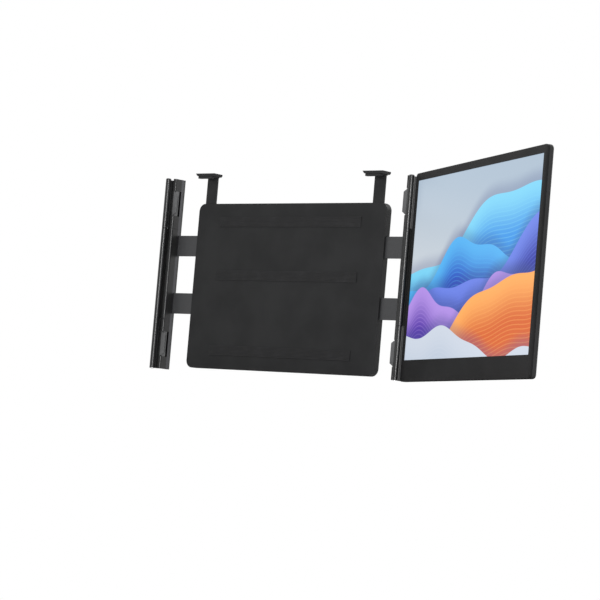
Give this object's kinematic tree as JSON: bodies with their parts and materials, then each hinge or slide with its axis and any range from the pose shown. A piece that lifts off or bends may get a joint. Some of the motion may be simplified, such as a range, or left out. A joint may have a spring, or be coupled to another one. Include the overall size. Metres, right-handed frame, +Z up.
{
  "type": "laptop screen extender",
  "caption": "Clamp-on cradle for a laptop's lid, with sliding side columns, jaws, top hooks, a kickstand and a hinged portable monitor on its right side.",
  "frame": {"origin": "on the face of the middle rest pad, where the back of the lid lies, midway between the columns", "axes": "+X to the user's right, +Y away from the user, +Z up along the lid"},
  "size_m": [0.6987, 0.2023, 0.2382],
  "materials": {
    "shell": "fine textured black moulding",
    "column": "satin black moulding",
    "jaw": "satin grey moulding",
    "hook": "satin dark grey moulding",
    "rubber": "soft black rubber",
    "felt": "dark felt",
    "rail": "black anodised",
    "steel": "bare turned steel",
    "washer": "black acetal friction washers",
    "plate": "black coated steel sheet",
    "screw": "black screws",
    "bezel": "fine matte black bezel",
    "cover": "fine textured black rear cover",
    "screen": null,
    "panel": "liquid crystal cell",
    "guide": "clear acrylic light guide",
    "lamp": "white lamp strip",
    "tray": "plain sheet",
    "board": "green lacquered board",
    "socket": "plated socket shells",
    "speaker": "black speaker boxes",
    "key": "satin black keys"
  },
  "bodies": {
    "cradle": {"cradle_front_shell": "shell", "cradle_rear_shell": "shell", "lid_rest_pads": "rubber", "arm_guides": "shell", "arm_brake_pads": "felt", "cradle_screws": "screw", "kickstand_pin": "steel"},
    "kickstand": {"kickstand_plate": "plate", "kickstand_foot": "rubber"},
    "right_arm": {"right_upper_knuckle": "column", "right_lower_knuckle": "column", "right_middle_cover": "column", "right_column_rail": "rail", "right_arm_plate": "plate", "right_back_cover": "column", "right_column_screws": "screw", "right_hinge_pins": "steel", "right_friction_washers": "washer", "right_barrel_cap": "column"},
    "right_upper_jaw": {"right_upper_jaw": "jaw", "right_upper_jaw_pad": "rubber"},
    "right_lower_jaw": {"right_lower_jaw": "jaw", "right_lower_jaw_pad": "rubber"},
    "right_hook": {"right_hook": "hook", "right_hook_pad": "rubber"},
    "left_arm": {"left_upper_knuckle": "column", "left_lower_knuckle": "column", "left_middle_cover": "column", "left_column_rail": "rail", "left_arm_plate": "plate", "left_back_cover": "column", "left_column_screws": "screw", "left_hinge_pins": "steel", "left_friction_washers": "washer", "left_barrel_cap": "column", "left_blank_barrel": "column"},
    "left_upper_jaw": {"left_upper_jaw": "jaw", "left_upper_jaw_pad": "rubber"},
    "left_lower_jaw": {"left_lower_jaw": "jaw", "left_lower_jaw_pad": "rubber"},
    "left_hook": {"left_hook": "hook", "left_hook_pad": "rubber"},
    "monitor": {"bezel_frame": "bezel", "rear_cover": "cover", "display_glass": "screen", "lcd_panel": "panel", "light_guide": "guide", "lamp_strip": "lamp", "backlight_tray": "tray", "hinge_bracket": "column", "driver_board": "board", "usb_sockets": "socket", "video_socket": "socket", "speakers": "speaker", "monitor_screws": "screw"},
    "power_button": {"power_button": "key"},
    "menu_button": {"menu_button": "key"}
  },
  "joints": [
    {"name": "right_arm_slide", "type": "slide", "parent": "cradle", "child": "right_arm", "axis": [1, 0, 0], "range_m": [-0.028, 0.0215]},
    {"name": "left_arm_slide", "type": "slide", "parent": "cradle", "child": "left_arm", "axis": [-1, 0, 0], "range_m": [-0.028, 0.0215]},
    {"name": "monitor_hinge", "type": "hinge", "parent": "right_arm", "child": "monitor", "pos_m": [0.1892, -0.01215, 0], "axis": [0, 0, 1], "range_deg": [-149.55, 60]},
    {"name": "right_upper_jaw_slide", "type": "slide", "parent": "right_arm", "child": "right_upper_jaw", "axis": [0, 1, 0], "range_m": [-0.0008, 0.003]},
    {"name": "right_lower_jaw_slide", "type": "slide", "parent": "right_arm", "child": "right_lower_jaw", "axis": [0, 1, 0], "range_m": [-0.0008, 0.003]},
    {"name": "left_upper_jaw_slide", "type": "slide", "parent": "left_arm", "child": "left_upper_jaw", "axis": [0, 1, 0], "range_m": [-0.0008, 0.003]},
    {"name": "left_lower_jaw_slide", "type": "slide", "parent": "left_arm", "child": "left_lower_jaw", "axis": [0, 1, 0], "range_m": [-0.0008, 0.003]},
    {"name": "right_hook_slide", "type": "slide", "parent": "cradle", "child": "right_hook", "axis": [0, 0, 1], "range_m": [-0.005, 0.015]},
    {"name": "left_hook_slide", "type": "slide", "parent": "cradle", "child": "left_hook", "axis": [0, 0, 1], "range_m": [-0.005, 0.015]},
    {"name": "kickstand_hinge", "type": "hinge", "parent": "cradle", "child": "kickstand", "pos_m": [0, 0.0096, 0.062], "axis": [1, 0, 0], "range_deg": [0, 55]},
    {"name": "power_button_press", "type": "slide", "parent": "monitor", "child": "power_button", "axis": [-0.5068, -0.8621, 0], "range_m": [0, 0.0006], "stiffness_N_per_m": 600},
    {"name": "menu_button_press", "type": "slide", "parent": "monitor", "child": "menu_button", "axis": [-0.5068, -0.8621, 0], "range_m": [0, 0.0006], "stiffness_N_per_m": 600}
  ]
}
